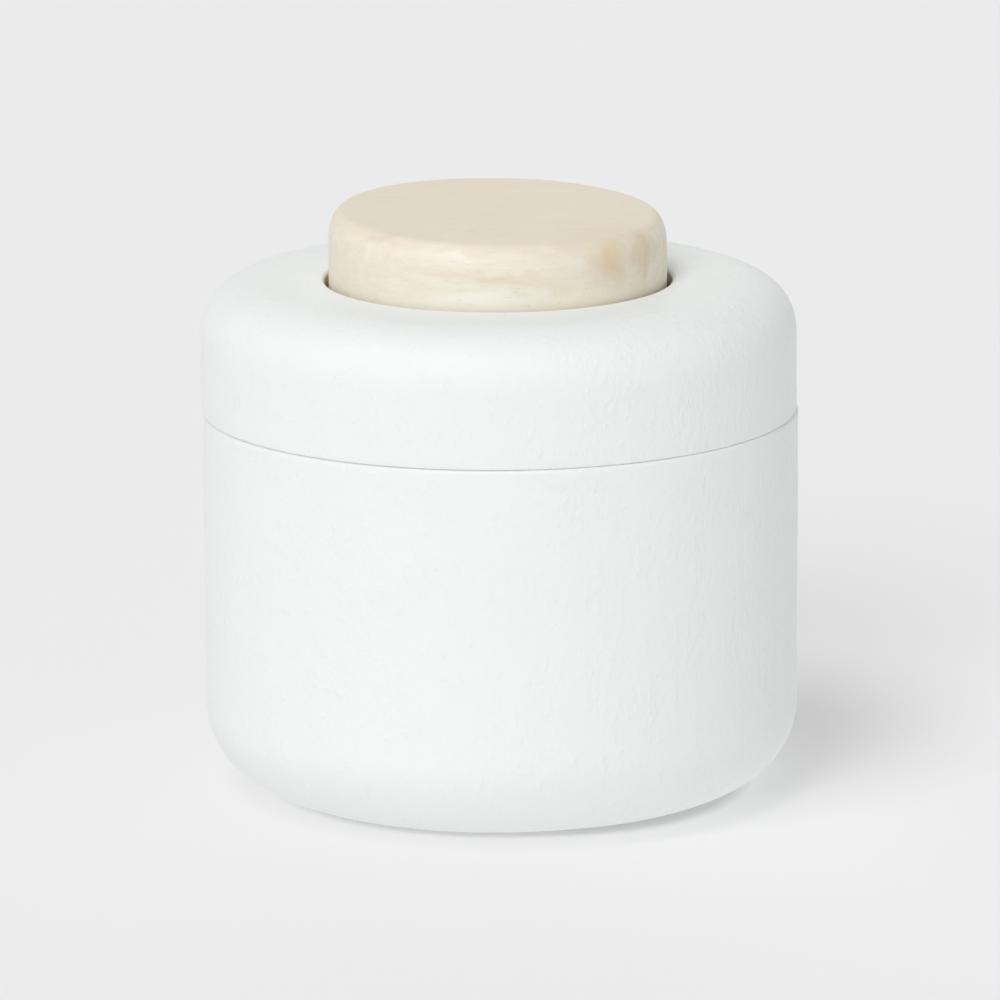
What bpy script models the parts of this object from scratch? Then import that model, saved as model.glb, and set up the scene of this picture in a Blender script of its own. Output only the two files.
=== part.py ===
"""A round bathroom canister: a white stoneware jar on four soft pads, a lift-off lid of the same
diameter, and a thick wooden knob that stands in a well in the lid and is held by one screw from below.

Metres, +Z up. The origin is on the canister's axis, on the surface that it stands on.
"""

import math
from typing import NamedTuple

import bmesh
import bpy
from mathutils import Vector

# Sizes that several pieces share
BODY_RADIUS = 0.0540
SEAT_GAP = 0.0003

# Jar
JAR_HEIGHT = 0.0694
JAR_WALL = 0.0050
JAR_FLOOR = 0.0050
HEEL_WIDTH = 0.0170
HEEL_HEIGHT = 0.0159
HEEL_BULGE_SHARE = 0.724
MOUTH_OUTER_EDGE = 0.0008
MOUTH_INNER_EDGE = 0.0012
FOOT_RING_WIDTH = 0.0042
FOOT_RING_EDGE = 0.0005

# Foot pads
PAD_COUNT = 4
PAD_RADIUS = 0.0050
PAD_THICKNESS = 0.0015
PAD_PROUD = 0.0005
PAD_TO_RING = 0.0006
PAD_EDGE = 0.0003

# Lid
LID_HEIGHT = 0.0235
LID_WALL = 0.0050
LID_TOP = 0.0045
LID_EDGE = 0.0006
SHOULDER_WIDTH = 0.0115
SHOULDER_HEIGHT = 0.0110
SHOULDER_BULGE_SHARE = 0.749
SEAT_FLANGE = 0.0040
FLANGE_ROUND = 0.0018
LOCATING_RIM_DEPTH = 0.0066
LOCATING_RIM_WALL = 0.0034
LOCATING_RIM_EDGE = 0.0008
MOUTH_CLEARANCE = 0.0010

# Well in the lid
WELL_DEPTH = 0.0090
WELL_WALL = 0.0040
WELL_FLOOR = 0.0045
WELL_LIP = 0.0007
WELL_CORNER = 0.0010
WELL_ROOT_ROUND = 0.0035
WELL_OUTER_ROUND = 0.0020

# Seal ring on the lid's locating rim
SEAL_GROOVE_DEPTH = 0.0012
SEAL_HEIGHT = 0.0022
SEAL_LIP_COUNT = 2
SEAL_LIP_SHARE = 0.5
SEAL_GROOVE_PLACE_SHARE = 0.5

# Knob
KNOB_RADIUS = 0.0306
KNOB_GAP = 0.0009
KNOB_RISE = 0.01215
KNOB_ROUND_WIDTH = 0.0027
KNOB_ROUND_HEIGHT = 0.0053
KNOB_FOOT_EDGE = 0.0010
CUSHION_THICKNESS = 0.0010
CUSHION_INSET = 0.0045

# Screw and washers
SCREW_RADIUS = 0.0021
SCREW_BITE = 0.0115
SCREW_TIP = 0.0030
SCREW_CLEARANCE = 0.0004
THREAD_HEIGHT = 0.0005
THREAD_PITCH = 0.0018
HEAD_RADIUS = 0.0040
HEAD_HEIGHT = 0.0026
HEAD_RIM_SHARE = 0.45
CROSS_RADIUS = 0.0024
CROSS_WIDTH = 0.0010
CROSS_DEPTH = 0.0015
CROSS_TAPER_SHARE = 0.6
PILOT_HOLE_END = 0.0010
LID_HOLE_CLEARANCE = 0.0009
STEEL_WASHER_RADIUS = 0.0060
STEEL_WASHER_THICKNESS = 0.0010
SOFT_WASHER_RADIUS = 0.0070
SOFT_WASHER_THICKNESS = 0.0012
CUTTER_OVERRUN = 0.0010

# How finely round shapes are divided
BODY_STEPS = 60
SMALL_STEPS = 24
CURVE_STEPS = 9
ROUND_STEPS = 4
EDGE_STEPS = 2
SEAL_STEPS = 8
THREAD_STEPS = 16
THREAD_ROWS_PER_TURN = 6
CIRCLE_BULGE_SHARE = math.sqrt(0.5)
SIDE_USE_SHARE = 0.98
MERGE_DISTANCE = 0.000001
SHARP_ANGLE = math.radians(35)

# Colours and surface values
COAT_WHITE = (0.90, 0.905, 0.90, 1.0)
SILICONE_WHITE = (0.80, 0.81, 0.80, 1.0)
PAD_GREY = (0.62, 0.63, 0.63, 1.0)
RUBBER_DARK = (0.05, 0.05, 0.05, 1.0)
CORK_TAN = (0.46, 0.31, 0.18, 1.0)
WOOD_PALE = (0.80, 0.72, 0.58, 1.0)
STEEL_GREY = (0.60, 0.60, 0.60, 1.0)
COAT_ROUGHNESS = 0.60
SOFT_ROUGHNESS = 0.50
WOOD_ROUGHNESS = 0.55
CORK_ROUGHNESS = 0.85
STEEL_ROUGHNESS = 0.30

# Heights in the jar, from the surface that it stands on
JAR_BASE_Z = PAD_PROUD
FOOT_RECESS_Z = PAD_THICKNESS + SEAT_GAP
JAR_INSIDE_Z = FOOT_RECESS_Z + JAR_FLOOR
JAR_RIM_Z = JAR_BASE_Z + JAR_HEIGHT
LID_SEAT_Z = JAR_RIM_Z + SEAT_GAP

# Heights in the lid, from its seat on the jar
UNDERSIDE_Z = LID_HEIGHT - LID_TOP
WELL_FLOOR_Z = LID_HEIGHT - WELL_DEPTH
WELL_UNDERSIDE_Z = WELL_FLOOR_Z - WELL_FLOOR
CUSHION_Z = WELL_FLOOR_Z + SEAT_GAP
KNOB_BASE_Z = CUSHION_Z + CUSHION_THICKNESS + SEAT_GAP
SOFT_WASHER_Z = WELL_UNDERSIDE_Z - SEAT_GAP - SOFT_WASHER_THICKNESS
STEEL_WASHER_Z = SOFT_WASHER_Z - SEAT_GAP - STEEL_WASHER_THICKNESS
HEAD_BEARING_Z = STEEL_WASHER_Z - SEAT_GAP
SEAL_GROOVE_MIDDLE_Z = -LOCATING_RIM_DEPTH * SEAL_GROOVE_PLACE_SHARE
SEAL_Z = SEAL_GROOVE_MIDDLE_Z - SEAL_HEIGHT / 2

# Radii that follow from the sizes above
MOUTH_RADIUS = BODY_RADIUS - JAR_WALL
FOOT_RING_INNER_RADIUS = BODY_RADIUS - HEEL_WIDTH - FOOT_RING_WIDTH
PAD_CIRCLE_RADIUS = FOOT_RING_INNER_RADIUS - PAD_TO_RING - PAD_RADIUS
LID_INSIDE_RADIUS = BODY_RADIUS - LID_WALL
LOCATING_RIM_RADIUS = MOUTH_RADIUS - MOUTH_CLEARANCE
LOCATING_RIM_INNER_RADIUS = LOCATING_RIM_RADIUS - LOCATING_RIM_WALL
SEAL_GROOVE_RADIUS = LOCATING_RIM_RADIUS - SEAL_GROOVE_DEPTH
WELL_RADIUS = KNOB_RADIUS + KNOB_GAP
WELL_OUTER_RADIUS = WELL_RADIUS + WELL_WALL
SCREW_CORE_RADIUS = SCREW_RADIUS - THREAD_HEIGHT
PILOT_HOLE_RADIUS = SCREW_RADIUS + SEAT_GAP
WASHER_HOLE_RADIUS = SCREW_RADIUS + SCREW_CLEARANCE
LID_HOLE_RADIUS = SCREW_RADIUS + LID_HOLE_CLEARANCE


class Corner(NamedTuple):
    """A corner of a turned outline. It is cut back by the lengths before and after it, and the cut is
    rounded. The bulge share says how far the middle of the rounding lies towards the sharp corner."""

    radius: float
    height: float
    before: float = 0.0
    after: float = 0.0
    bulge_share: float = CIRCLE_BULGE_SHARE
    steps: int = EDGE_STEPS


def edge(radius, height, size, steps=EDGE_STEPS):
    """A corner with an even rounding."""
    return Corner(radius, height, size, size, steps=steps)


def side_scales(corners, places):
    """How far each side of the outline lets the roundings at its two ends have their full length."""
    scales = []
    for index, corner in enumerate(corners):
        beyond = (index + 1) % len(corners)
        length = (places[beyond] - places[index]).length
        wanted = corner.after + corners[beyond].before
        scales.append(min(1, SIDE_USE_SHARE * length / wanted) if wanted else 1)
    return scales


def outline(corners):
    """The points of an outline, with each corner's rounding worked out."""
    places = [Vector((corner.radius, corner.height)) for corner in corners]
    scales = side_scales(corners, places)
    points = []
    for index, corner in enumerate(corners):
        here = places[index]
        if not corner.before:
            points.append(here)
            continue
        beyond = places[(index + 1) % len(places)]
        scale = min(scales[index - 1], scales[index])
        start = here + (places[index - 1] - here).normalized() * corner.before * scale
        end = here + (beyond - here).normalized() * corner.after * scale
        centre = start + end - here
        power = -2 * math.log2(corner.bulge_share)
        for step in range(corner.steps + 1):
            turn = math.pi / 2 * step / corner.steps
            along_start = (start - centre) * max(0, math.cos(turn)) ** power
            along_end = (end - centre) * math.sin(turn) ** power
            points.append(centre + along_start + along_end)
    return points


def turned_mesh(name, points, closed, steps):
    """A solid turned about +Z. An outline that isn't closed starts and ends on the axis."""
    form = bmesh.new()
    corners = [form.verts.new((point.x, 0, point.y)) for point in points]
    sides = [form.edges.new(pair) for pair in zip(corners, corners[1:])]
    if closed:
        sides.append(form.edges.new((corners[-1], corners[0])))
    bmesh.ops.spin(
        form,
        geom=corners + sides,
        axis=(0, 0, 1),
        cent=(0, 0, 0),
        angle=math.tau,
        steps=steps,
        use_merge=True,
    )
    bmesh.ops.remove_doubles(form, verts=form.verts, dist=MERGE_DISTANCE)
    return finished_mesh(name, form)


def finished_mesh(name, form):
    """The shape as a mesh, facing out and shaded smooth between its sharp edges."""
    bmesh.ops.recalc_face_normals(form, faces=form.faces)
    mesh = bpy.data.meshes.new(name)
    form.to_mesh(mesh)
    form.free()
    mesh.shade_smooth()
    mesh.set_sharp_from_angle(angle=SHARP_ANGLE)
    return mesh


def placed(name, mesh, parent, height):
    """An object on the canister's axis, at a height above its parent's origin."""
    part = bpy.data.objects.new(name, mesh)
    bpy.context.collection.objects.link(part)
    part.parent = parent
    part.location.z = height
    return part


def finish(part, colour, roughness, metallic=0.0):
    """Gives a part a surface of its own."""
    material = bpy.data.materials.new(part.name + "_finish")
    material.use_nodes = True
    surface = material.node_tree.nodes["Principled BSDF"]
    surface.inputs["Base Color"].default_value = colour
    surface.inputs["Roughness"].default_value = roughness
    surface.inputs["Metallic"].default_value = metallic
    material.diffuse_color = colour
    part.data.materials.append(material)


def coat_white(part):
    finish(part, COAT_WHITE, COAT_ROUGHNESS)


def leave_pale_wood(part):
    finish(part, WOOD_PALE, WOOD_ROUGHNESS)


def make_of_cork(part):
    finish(part, CORK_TAN, CORK_ROUGHNESS)


def make_of_white_silicone(part):
    finish(part, SILICONE_WHITE, SOFT_ROUGHNESS)


def make_of_grey_silicone(part):
    finish(part, PAD_GREY, SOFT_ROUGHNESS)


def make_of_dark_rubber(part):
    finish(part, RUBBER_DARK, SOFT_ROUGHNESS)


def make_of_steel(part):
    finish(part, STEEL_GREY, STEEL_ROUGHNESS, metallic=1.0)


def make_jar_body():
    """The jar is hollow, with an even wall, a curved heel and a recess inside its foot ring."""
    inner_heel_width = HEEL_WIDTH - JAR_WALL
    inner_heel_height = HEEL_HEIGHT - (JAR_INSIDE_Z - JAR_BASE_Z)
    profile = [
        Corner(0, JAR_INSIDE_Z),
        Corner(
            MOUTH_RADIUS,
            JAR_INSIDE_Z,
            inner_heel_width,
            inner_heel_height,
            HEEL_BULGE_SHARE,
            CURVE_STEPS,
        ),
        edge(MOUTH_RADIUS, JAR_RIM_Z, MOUTH_INNER_EDGE),
        edge(BODY_RADIUS, JAR_RIM_Z, MOUTH_OUTER_EDGE),
        Corner(BODY_RADIUS, JAR_BASE_Z, HEEL_HEIGHT, HEEL_WIDTH, HEEL_BULGE_SHARE, CURVE_STEPS),
        edge(FOOT_RING_INNER_RADIUS, JAR_BASE_Z, FOOT_RING_EDGE),
        Corner(FOOT_RING_INNER_RADIUS, FOOT_RECESS_Z),
        Corner(0, FOOT_RECESS_Z),
    ]
    mesh = turned_mesh("jar_body", outline(profile), False, BODY_STEPS)
    jar = placed("jar_body", mesh, None, 0)
    coat_white(jar)
    return jar


def make_foot_pads(jar):
    """The pads are glued up inside the foot ring, and stand a little proud of it."""
    profile = [
        Corner(0, PAD_THICKNESS),
        edge(PAD_RADIUS, PAD_THICKNESS, PAD_EDGE),
        edge(PAD_RADIUS, 0, PAD_EDGE),
        Corner(0, 0),
    ]
    for index in range(PAD_COUNT):
        name = f"foot_pad_{index + 1}"
        pad = placed(name, turned_mesh(name, outline(profile), False, SMALL_STEPS), jar, 0)
        turn = math.tau * (index + 0.5) / PAD_COUNT
        pad.location.x = PAD_CIRCLE_RADIUS * math.cos(turn)
        pad.location.y = PAD_CIRCLE_RADIUS * math.sin(turn)
        make_of_grey_silicone(pad)


def make_lid_shell(lift):
    """The lid is an even-walled cap with a well for the knob in its top, and a rim below its seat that
    drops into the jar's mouth. Inside, a flange slopes out from the rim to the wall."""
    flange_slope = LID_INSIDE_RADIUS - LOCATING_RIM_INNER_RADIUS
    groove_half_height = SEAL_HEIGHT / 2 + SEAT_GAP
    rim_foot = -LOCATING_RIM_DEPTH
    profile = [
        edge(WELL_RADIUS, LID_HEIGHT, WELL_LIP),
        Corner(
            BODY_RADIUS,
            LID_HEIGHT,
            SHOULDER_WIDTH,
            SHOULDER_HEIGHT,
            SHOULDER_BULGE_SHARE,
            CURVE_STEPS,
        ),
        edge(BODY_RADIUS, 0, LID_EDGE),
        Corner(LOCATING_RIM_RADIUS, 0),
        Corner(LOCATING_RIM_RADIUS, SEAL_GROOVE_MIDDLE_Z + groove_half_height),
        Corner(SEAL_GROOVE_RADIUS, SEAL_GROOVE_MIDDLE_Z + groove_half_height),
        Corner(SEAL_GROOVE_RADIUS, SEAL_GROOVE_MIDDLE_Z - groove_half_height),
        Corner(LOCATING_RIM_RADIUS, SEAL_GROOVE_MIDDLE_Z - groove_half_height),
        edge(LOCATING_RIM_RADIUS, rim_foot, LOCATING_RIM_EDGE),
        edge(LOCATING_RIM_INNER_RADIUS, rim_foot, LOCATING_RIM_EDGE),
        edge(LOCATING_RIM_INNER_RADIUS, SEAT_FLANGE, FLANGE_ROUND),
        edge(LID_INSIDE_RADIUS, SEAT_FLANGE + flange_slope, FLANGE_ROUND),
        Corner(
            LID_INSIDE_RADIUS,
            UNDERSIDE_Z,
            SHOULDER_HEIGHT - LID_TOP,
            SHOULDER_WIDTH - LID_WALL,
            SHOULDER_BULGE_SHARE,
            ROUND_STEPS,
        ),
        edge(WELL_OUTER_RADIUS, UNDERSIDE_Z, WELL_ROOT_ROUND, ROUND_STEPS),
        edge(WELL_OUTER_RADIUS, WELL_UNDERSIDE_Z, WELL_OUTER_ROUND, ROUND_STEPS),
        Corner(LID_HOLE_RADIUS, WELL_UNDERSIDE_Z),
        Corner(LID_HOLE_RADIUS, WELL_FLOOR_Z),
        edge(WELL_RADIUS, WELL_FLOOR_Z, WELL_CORNER),
    ]
    mesh = turned_mesh("lid_shell", outline(profile), True, BODY_STEPS)
    coat_white(placed("lid_shell", mesh, lift, 0))


def make_seal_ring(lift):
    """A soft ring in the locating rim's groove. Its lips reach out to the jar's mouth."""
    inner = SEAL_GROOVE_RADIUS + SEAT_GAP
    outer = MOUTH_RADIUS - SEAT_GAP
    lip = (outer - inner) * SEAL_LIP_SHARE
    points = [Vector((inner, SEAL_HEIGHT))]
    for step in range(SEAL_STEPS + 1):
        share = step / SEAL_STEPS
        reach = outer - lip * (1 - abs(math.sin(math.pi * SEAL_LIP_COUNT * share)))
        points.append(Vector((reach, SEAL_HEIGHT * (1 - share))))
    points.append(Vector((inner, 0)))
    mesh = turned_mesh("seal_ring", points, True, BODY_STEPS)
    make_of_white_silicone(placed("seal_ring", mesh, lift, SEAL_Z))


def make_wooden_knob(lift):
    """A thick disc with a generous round on its top edge and a blind hole for the screw below."""
    top = LID_HEIGHT + KNOB_RISE - KNOB_BASE_Z
    hole_end = SCREW_BITE + PILOT_HOLE_END
    profile = [
        Corner(0, top),
        Corner(KNOB_RADIUS, top, KNOB_ROUND_WIDTH, KNOB_ROUND_HEIGHT, steps=CURVE_STEPS),
        edge(KNOB_RADIUS, 0, KNOB_FOOT_EDGE),
        Corner(PILOT_HOLE_RADIUS, 0),
        Corner(PILOT_HOLE_RADIUS, hole_end),
        Corner(0, hole_end),
    ]
    mesh = turned_mesh("wooden_knob", outline(profile), False, BODY_STEPS)
    leave_pale_wood(placed("wooden_knob", mesh, lift, KNOB_BASE_Z))


def make_washer(name, radius, thickness, lift, height, steps):
    """A flat ring round the screw."""
    profile = [
        Corner(radius, thickness),
        Corner(radius, 0),
        Corner(WASHER_HOLE_RADIUS, 0),
        Corner(WASHER_HOLE_RADIUS, thickness),
    ]
    return placed(name, turned_mesh(name, outline(profile), True, steps), lift, height)


def make_knob_cushion(lift):
    """A thin cork disc that beds the knob on the floor of the well and keeps it from turning."""
    radius = KNOB_RADIUS - CUSHION_INSET
    make_of_cork(
        make_washer("knob_cushion", radius, CUSHION_THICKNESS, lift, CUSHION_Z, BODY_STEPS)
    )


def make_soft_washer(lift):
    """It keeps the steel off the brittle floor of the well."""
    washer = make_washer(
        "soft_washer",
        SOFT_WASHER_RADIUS,
        SOFT_WASHER_THICKNESS,
        lift,
        SOFT_WASHER_Z,
        SMALL_STEPS,
    )
    make_of_dark_rubber(washer)


def make_steel_washer(lift):
    """It spreads the load of the screw's head."""
    washer = make_washer(
        "steel_washer",
        STEEL_WASHER_RADIUS,
        STEEL_WASHER_THICKNESS,
        lift,
        STEEL_WASHER_Z,
        SMALL_STEPS,
    )
    make_of_steel(washer)


def screw_rows():
    """The screw's rows of points from its domed head up to its tip: height from the head's bearing
    face, radius of the core, and the share of the thread's full height that stands on it."""
    rim = HEAD_HEIGHT * HEAD_RIM_SHARE
    rows = []
    for step in range(1, CURVE_STEPS + 1):
        turn = math.pi / 2 * step / CURVE_STEPS
        drop = rim + (HEAD_HEIGHT - rim) * math.cos(turn)
        rows.append((-drop, HEAD_RADIUS * math.sin(turn), 0))
    rows.append((0, HEAD_RADIUS, 0))
    rows.append((0, SCREW_CORE_RADIUS, 0))
    thread_end = KNOB_BASE_Z + SCREW_BITE - HEAD_BEARING_Z - SCREW_TIP
    thread_start = CUSHION_Z - HEAD_BEARING_Z
    row_count = round((thread_end - thread_start) / THREAD_PITCH * THREAD_ROWS_PER_TURN)
    for row in range(row_count + 1):
        height = thread_start + (thread_end - thread_start) * row / row_count
        rows.append((height, SCREW_CORE_RADIUS, min(1, row / THREAD_ROWS_PER_TURN)))
    tip_count = round(SCREW_TIP / THREAD_PITCH * THREAD_ROWS_PER_TURN)
    for row in range(1, tip_count):
        left = 1 - row / tip_count
        rows.append((thread_end + SCREW_TIP * row / tip_count, SCREW_CORE_RADIUS * left, left))
    return rows


def make_screw_mesh(name):
    """The rows joined to each other, with a point at the head's middle and one at the tip."""
    form = bmesh.new()
    rings = []
    for height, radius, thread_share in screw_rows():
        ring = []
        for step in range(THREAD_STEPS):
            turn = math.tau * step / THREAD_STEPS
            wave = math.cos(math.tau * height / THREAD_PITCH - turn)
            reach = radius + THREAD_HEIGHT * thread_share * (1 + wave) / 2
            ring.append(form.verts.new((reach * math.cos(turn), reach * math.sin(turn), height)))
        rings.append(ring)
    head = form.verts.new((0, 0, -HEAD_HEIGHT))
    tip = form.verts.new((0, 0, KNOB_BASE_Z + SCREW_BITE - HEAD_BEARING_Z))
    for step in range(THREAD_STEPS):
        beside = (step + 1) % THREAD_STEPS
        form.faces.new((head, rings[0][beside], rings[0][step]))
        for lower, upper in zip(rings, rings[1:]):
            form.faces.new((lower[step], lower[beside], upper[beside], upper[step]))
        form.faces.new((rings[-1][step], rings[-1][beside], tip))
    return finished_mesh(name, form)


def make_cross_cutter(screw):
    """A tapered cross that cuts the driver's recess into the head."""
    arm = CROSS_WIDTH / 2
    reach = CROSS_RADIUS
    corner_signs = [(1, 1), (-1, 1), (-1, -1), (1, -1)]
    points = []
    for index, (sign_x, sign_y) in enumerate(corner_signs):
        inner = (sign_x * arm, sign_y * arm)
        along_x = (sign_x * reach, sign_y * arm)
        along_y = (sign_x * arm, sign_y * reach)
        points += [along_x, inner, along_y] if index % 2 == 0 else [along_y, inner, along_x]
    form = bmesh.new()
    low = [form.verts.new((x, y, -HEAD_HEIGHT - CUTTER_OVERRUN)) for x, y in points]
    outline_face = form.faces.new(low)
    deep = bmesh.ops.extrude_face_region(form, geom=[outline_face])["geom"]
    for item in deep:
        if isinstance(item, bmesh.types.BMVert):
            item.co.x *= CROSS_TAPER_SHARE
            item.co.y *= CROSS_TAPER_SHARE
            item.co.z = -HEAD_HEIGHT + CROSS_DEPTH
    cutter = placed("cross_cutter", finished_mesh("cross_cutter", form), screw, 0)
    cutter.hide_render = True
    cutter.display_type = "WIRE"
    return cutter


def make_knob_screw(lift):
    """A pan-head wood screw, driven up through the washers, the lid and the cushion into the knob."""
    screw = placed("knob_screw", make_screw_mesh("knob_screw"), lift, HEAD_BEARING_Z)
    make_of_steel(screw)
    recess = screw.modifiers.new("driver recess", "BOOLEAN")
    recess.operation = "DIFFERENCE"
    recess.solver = "EXACT"
    recess.object = make_cross_cutter(screw)


def make_lid_lift():
    """An empty at the lid's seat. The lid and all that it carries lift along its +Z."""
    lift = bpy.data.objects.new("lid_lift", None)
    bpy.context.collection.objects.link(lift)
    lift.location.z = LID_SEAT_Z
    lift.empty_display_size = BODY_RADIUS
    return lift


def main():
    for item in list(bpy.context.scene.objects):
        bpy.data.objects.remove(item, do_unlink=True)
    jar = make_jar_body()
    make_foot_pads(jar)
    lift = make_lid_lift()
    make_lid_shell(lift)
    make_seal_ring(lift)
    make_wooden_knob(lift)
    make_knob_cushion(lift)
    make_soft_washer(lift)
    make_steel_washer(lift)
    make_knob_screw(lift)


main()
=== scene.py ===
"""The looks of a white stoneware canister with a pale wooden knob: every piece as a fine mesh with a
procedural surface, on a pale floor in soft light, from the photograph's angle.

Metres, +Z up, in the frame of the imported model, whose pieces give the places and outer sizes.
"""

import functools
import math
from typing import NamedTuple

import bmesh
import bpy
from mathutils import Matrix, Vector, noise


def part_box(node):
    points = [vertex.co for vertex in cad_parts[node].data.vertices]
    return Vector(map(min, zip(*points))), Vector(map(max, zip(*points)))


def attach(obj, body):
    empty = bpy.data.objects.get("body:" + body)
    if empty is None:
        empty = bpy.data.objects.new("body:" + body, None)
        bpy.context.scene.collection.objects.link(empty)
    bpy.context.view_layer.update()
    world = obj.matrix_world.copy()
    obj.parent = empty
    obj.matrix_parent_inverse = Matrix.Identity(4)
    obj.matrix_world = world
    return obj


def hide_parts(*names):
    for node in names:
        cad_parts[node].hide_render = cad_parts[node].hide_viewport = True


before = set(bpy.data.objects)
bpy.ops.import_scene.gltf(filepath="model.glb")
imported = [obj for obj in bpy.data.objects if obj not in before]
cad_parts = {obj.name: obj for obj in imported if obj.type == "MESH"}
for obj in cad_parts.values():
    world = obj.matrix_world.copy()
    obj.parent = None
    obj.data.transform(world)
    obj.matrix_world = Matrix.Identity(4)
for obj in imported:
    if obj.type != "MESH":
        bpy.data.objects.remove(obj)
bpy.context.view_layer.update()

# Camera, with its sensor and lens in millimetres
CAMERA_DISTANCE = 1.5
CAMERA_ELEVATION = math.radians(12.87)
CAMERA_ROLL = math.radians(0.25)
CAMERA_AIM = Vector((-0.00016, 0, 0.0523))
SENSOR_WIDTH = 36.0
LENS = 296.8

# Surroundings. The table scatters light back and, by its clear share, lets light through from below.
# The camera is shown other values than those that light the object. Over a turn, a stretch along X,
# a value goes from its first to its second. In a narrow ring where the base stands, which reaches a
# little further on the right, the table is less clear, and the white that the camera is shown is
# darkened there as a painted contact shadow.
PALE_GREY = (0.838, 0.838, 0.838, 1)
WHITE = (1, 1, 1, 1)
TABLE_WHITE = (0.95, 0.95, 0.95, 1)
TABLE_CLEAR_SHARE = 0.85
TABLE_SHOWN_WHITE = (0.967, 0.967, 0.967)
TABLE_SHOWN_GLOW = (0.875, 0.875, 0.875, 1)
TABLE_SHOWN_CLEAR_SHARES = (0.72, 0.25)
TABLE_TURN = (0.0, 0.060)
CONTACT_RADIUS = 0.0400
CONTACT_FADE = 0.0030
CONTACT_SHOWN_CLEAR_SHARE = 0.5
# Painted contact shadow: the share of the shown white that is left in the ring where the base stands
CONTACT_PAINTED_SHADOW_TONE = 0.72
CONTACT_LIT_CLEAR_SHARE = 0.40
CONTACT_LIT_FADE = 0.0020
CONTACT_REACH_RIGHT = 0.0030
CONTACT_TURN = (0.0, 0.030)
FLOOR_RADIUS = 4.0
FLOOR_STEPS = 128
FLOOR_OPENING_RADIUS = 0.0365
FLOOR_OPENING_FADE = 0.004

# Lights: where each shines from, as degrees round from the camera's side and above the horizon, how
# wide it is in degrees, and how strongly it lights a face turned to it
LIGHTS = {
    "key": (-20, 32, 26, 0.298),
    "high": (-40, 64, 24, 0.255),
    "low right": (60, 8, 26, 0.068),
    "low left": (-95, 12, 30, 0.038),
    "back": (-180, 32, 26, 0.044),
    "under the table": (0, -90, 60, 0.52),
}
AMBIENT = 0.432

# Sizes that the frame's boxes don't give, as the solids have them
SEAT_GAP = 0.0003
BODY_WALL = 0.0050
JAR_FLOOR = 0.0050
FOOT_RECESS = 0.0013
HEEL_WIDTH = 0.0170
HEEL_HEIGHT = 0.0159
HEEL_BULGE_SHARE = 0.724
FOOT_RING_WIDTH = 0.0042
FOOT_RING_EDGE = 0.0005
MOUTH_INNER_EDGE = 0.0012
LID_TOP = 0.0045
SHOULDER_WIDTH = 0.0115
SHOULDER_HEIGHT = 0.0110
SHOULDER_BULGE_SHARE = 0.749
SEAT_FLANGE = 0.0040
FLANGE_ROUND = 0.0018
LOCATING_RIM_WALL = 0.0034
LOCATING_RIM_EDGE = 0.0008
MOUTH_CLEARANCE = 0.0010
SEAL_GROOVE_DEPTH = 0.0012
SEAL_LIP_COUNT = 2
SEAL_LIP_SHARE = 0.5
WELL_DEPTH = 0.0090
WELL_WALL = 0.0040
WELL_FLOOR = 0.0045
WELL_LIP = 0.0007
WELL_CORNER = 0.0010
WELL_ROOT_ROUND = 0.0035
WELL_OUTER_ROUND = 0.0020
KNOB_GAP = 0.0009
KNOB_ROUND_WIDTH = 0.0027
KNOB_ROUND_HEIGHT = 0.0053
KNOB_FOOT_EDGE = 0.0010
LID_HOLE_RADIUS = 0.0030
PILOT_HOLE_RADIUS = 0.0024
PILOT_HOLE_DEPTH = 0.0125
SCREW_RADIUS = 0.0021
SCREW_HOLE_RADIUS = 0.0025
SCREW_TIP = 0.0030
THREAD_HEIGHT = 0.0005
THREAD_PITCH = 0.0018
HEAD_RADIUS = 0.0040
HEAD_HEIGHT = 0.0026
HEAD_RIM_SHARE = 0.45
CROSS_RADIUS = 0.0024
CROSS_WIDTH = 0.0010
CROSS_DEPTH = 0.0015
CROSS_TAPER_SHARE = 0.6
CUTTER_OVERRUN = 0.0010

# Small finish of the pieces, finer than the solids'
RESTING_GAP = 0.00002
MOUTH_OUTER_EDGE = 0.00055
MOUTH_EDGE_BULGE_SHARE = 0.66
LID_EDGE = 0.00022
SEAM_CALM = 0.004
SHARP_ANGLE = math.radians(40)
BARE_RING_INSET = 0.0004
SEAT_COAT_WIDTH = 0.0015
CUSHION_EDGE = 0.00015
SOFT_WASHER_EDGE = 0.0003
STEEL_WASHER_EDGE = 0.00012
STAMPED_EDGE = 0.0003
PAD_FACE_EDGE = 0.0003
PAD_BACK_EDGE = 0.0002
THREAD_SHARPNESS = 3

# How far the hand-finished pieces are from true
LID_OFF_CENTRE = -0.00027
LID_TILT = math.radians(0.02)
KNOB_OFF_CENTRE = -0.00038
KNOB_SLOPE_RIGHT = math.radians(1.13)
KNOB_SLOPE_FRONT = math.radians(1.55)

# How finely the pieces are divided
FINE = 0.0008
COARSE = 0.0018
SMALL_FINE = 0.00025
BODY_STEPS = 456
KNOB_STEPS = 320
CUSHION_STEPS = 240
SMALL_STEPS = 96
THREAD_STEPS = 48
THREAD_ROWS_PER_TURN = 20
HEAD_ROWS = 24
SEAL_STEPS = 32
LEAST_STEPS = 3
CIRCLE_BULGE_SHARE = math.sqrt(0.5)

# The skins of a turned piece
OUTSIDE = 0
INSIDE = 1
BARE = 2


class Corner(NamedTuple):
    """A corner of a turned outline. It is cut back by the lengths before and after it, and the cut is
    rounded. The bulge share says how far the middle of the rounding lies towards the sharp corner.
    The skin is the one on the stretch that follows."""

    radius: float
    height: float
    before: float = 0.0
    after: float = 0.0
    bulge_share: float = CIRCLE_BULGE_SHARE
    skin: int = OUTSIDE


def edge(radius, height, size, skin=OUTSIDE):
    """A corner with an even rounding."""
    return Corner(radius, height, size, size, skin=skin)


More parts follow.
